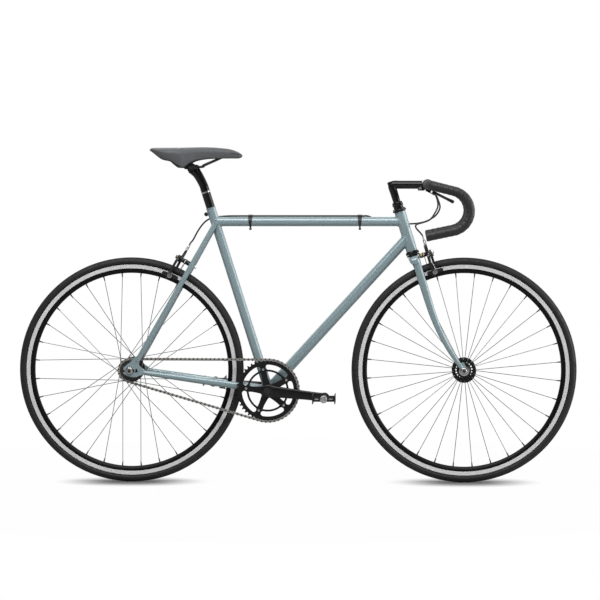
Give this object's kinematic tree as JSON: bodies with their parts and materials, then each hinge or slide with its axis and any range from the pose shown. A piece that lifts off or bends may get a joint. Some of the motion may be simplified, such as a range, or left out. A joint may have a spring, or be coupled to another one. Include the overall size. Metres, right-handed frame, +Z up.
{
  "type": "single-speed city bicycle",
  "caption": "City bicycle with a steel diamond frame, fixed sprocket, drop bar, side-pull brakes with levers on the bar tops, quill stem and padded saddle.",
  "frame": {"origin": "on the ground, midway between the axles, in the middle plane", "axes": "+X forward, +Y to the rider's left, +Z up"},
  "size_m": [1.681, 0.4388, 1.0102],
  "materials": {
    "frame_paint": "glossy pale blue-grey paint",
    "black_paint": "satin black paint",
    "black_alloy": "black anodised, satin",
    "rim_alloy": "black with bare machined braking surfaces",
    "spoke_steel": "drawn steel wire on a black hub",
    "tyre_rubber": "matte black tread and sidewall",
    "tube_rubber": "matte",
    "chain_steel": "nickel plated, lightly oiled",
    "zinc_steel": "zinc plated",
    "bar_tape": "matte wound cork tape",
    "housing_black": "smooth black cable housing",
    "saddle_cover": "matte synthetic cover"
  },
  "bodies": {
    "frame": {"head_tube": "frame_paint", "top_tube": "frame_paint", "down_tube": "frame_paint", "seat_tube": "frame_paint", "bottom_bracket_shell": "frame_paint", "chain_stay_left": "frame_paint", "chain_stay_right": "frame_paint", "seat_stay_left": "frame_paint", "seat_stay_right": "frame_paint", "track_end_left": "frame_paint", "track_end_right": "frame_paint", "brake_bridge": "frame_paint", "seat_binder_bolt": "zinc_steel", "headset_upper_cup": "black_alloy", "headset_lower_cup": "black_alloy", "bottom_bracket_cartridge": "black_alloy", "rear_axle": "zinc_steel", "rear_brake_bolt": "zinc_steel", "chain": "chain_steel", "rear_brake_housing": "housing_black", "housing_clip_front": "black_alloy", "housing_clip_rear": "black_alloy"},
    "seat": {"seatpost": "black_alloy", "saddle_clamp": "black_alloy", "saddle_rails": "black_paint", "saddle": "saddle_cover"},
    "fork": {"fork_steerer_and_crown": "frame_paint", "fork_blade_left": "frame_paint", "fork_blade_right": "frame_paint", "headset_race_and_locknut": "black_alloy", "stem": "black_paint", "handlebar": "black_alloy", "bar_tape_left": "bar_tape", "bar_tape_right": "bar_tape", "lever_bracket_left": "black_alloy", "lever_bracket_right": "black_alloy", "front_brake_bolt": "zinc_steel", "front_axle": "zinc_steel", "front_brake_housing": "housing_black"},
    "lever_left": {"brake_lever_left": "black_paint"},
    "lever_right": {"brake_lever_right": "black_paint"},
    "front_arm_inner": {"front_brake_arm_inner": "black_alloy"},
    "front_arm_outer": {"front_brake_arm_outer": "black_alloy"},
    "rear_arm_inner": {"rear_brake_arm_inner": "black_alloy"},
    "rear_arm_outer": {"rear_brake_arm_outer": "black_alloy"},
    "front_wheel": {"front_tyre": "tyre_rubber", "front_inner_tube": "tube_rubber", "front_rim": "rim_alloy", "front_spoked_hub": "spoke_steel"},
    "rear_wheel": {"rear_tyre": "tyre_rubber", "rear_inner_tube": "tube_rubber", "rear_rim": "rim_alloy", "rear_spoked_hub": "spoke_steel", "sprocket": "chain_steel"},
    "crankset": {"crank_spindle": "zinc_steel", "crank_right": "black_alloy", "crank_left": "black_alloy", "chainring": "black_alloy"},
    "left_pedal": {"pedal_left": "black_alloy"},
    "right_pedal": {"pedal_right": "black_alloy"}
  },
  "joints": [
    {"name": "steering", "type": "hinge", "parent": "frame", "child": "fork", "pos_m": [0.34473, 0, 0.69739], "axis": [-0.2932, 0, 0.956], "range_deg": [-60, 60], "deforming": ["rear_brake_housing"]},
    {"name": "front_wheel_spin", "type": "hinge", "parent": "fork", "child": "front_wheel", "pos_m": [0.5015, 0, 0.339], "axis": [0, 1, 0], "continuous": true},
    {"name": "rear_wheel_spin", "type": "hinge", "parent": "frame", "child": "rear_wheel", "pos_m": [-0.5015, 0, 0.339], "axis": [0, 1, 0], "continuous": true},
    {"name": "crank_spin", "type": "hinge", "parent": "frame", "child": "crankset", "pos_m": [-0.08768, 0, 0.2789], "axis": [0, 1, 0], "continuous": true, "deforming": ["chain"]},
    {"name": "pedal_left_spin", "type": "hinge", "parent": "crankset", "child": "left_pedal", "pos_m": [-0.25917, 0.067, 0.29753], "axis": [0, 1, 0], "continuous": true},
    {"name": "pedal_right_spin", "type": "hinge", "parent": "crankset", "child": "right_pedal", "pos_m": [0.08381, -0.067, 0.26027], "axis": [0, 1, 0], "continuous": true},
    {"name": "seatpost_height", "type": "slide", "parent": "frame", "child": "seat", "axis": [-0.3024, 0, 0.9532], "range_m": [-0.06, 0.1]},
    {"name": "brake_lever_left_pivot", "type": "hinge", "parent": "fork", "child": "lever_left", "pos_m": [0.41157, 0.053, 0.87374], "axis": [0.4478, 0, 0.8942], "range_deg": [0, 20], "stiffness_Nm_per_rad": 0.6, "springref_deg": -20.05},
    {"name": "brake_lever_right_pivot", "type": "hinge", "parent": "fork", "child": "lever_right", "pos_m": [0.41157, -0.053, 0.87374], "axis": [-0.4478, 0, -0.8942], "range_deg": [0, 20], "stiffness_Nm_per_rad": 0.6, "springref_deg": -20.05},
    {"name": "front_arm_inner_pivot", "type": "hinge", "parent": "fork", "child": "front_arm_inner", "pos_m": [0.35097, 0, 0.67702], "axis": [0.956, 0, 0.2932], "range_deg": [0, 1.6]},
    {"name": "front_arm_outer_pivot", "type": "hinge", "parent": "fork", "child": "front_arm_outer", "pos_m": [0.35097, 0, 0.67702], "axis": [-0.956, 0, -0.2932], "range_deg": [0, 1.6]},
    {"name": "rear_arm_inner_pivot", "type": "hinge", "parent": "frame", "child": "rear_arm_inner", "pos_m": [-0.31827, 0, 0.65352], "axis": [-0.8709, 0, 0.4915], "range_deg": [0, 1.6]},
    {"name": "rear_arm_outer_pivot", "type": "hinge", "parent": "frame", "child": "rear_arm_outer", "pos_m": [-0.31827, 0, 0.65352], "axis": [0.8709, 0, -0.4915], "range_deg": [0, 1.6]}
  ],
  "couplings": [
    {"joint": "crank_spin", "follows": "rear_wheel_spin", "ratio": 0.36956},
    {"joint": "front_arm_inner_pivot", "follows": "brake_lever_left_pivot", "ratio": 0.08},
    {"joint": "front_arm_outer_pivot", "follows": "brake_lever_left_pivot", "ratio": 0.08},
    {"joint": "rear_arm_inner_pivot", "follows": "brake_lever_right_pivot", "ratio": 0.08},
    {"joint": "rear_arm_outer_pivot", "follows": "brake_lever_right_pivot", "ratio": 0.08}
  ]
}
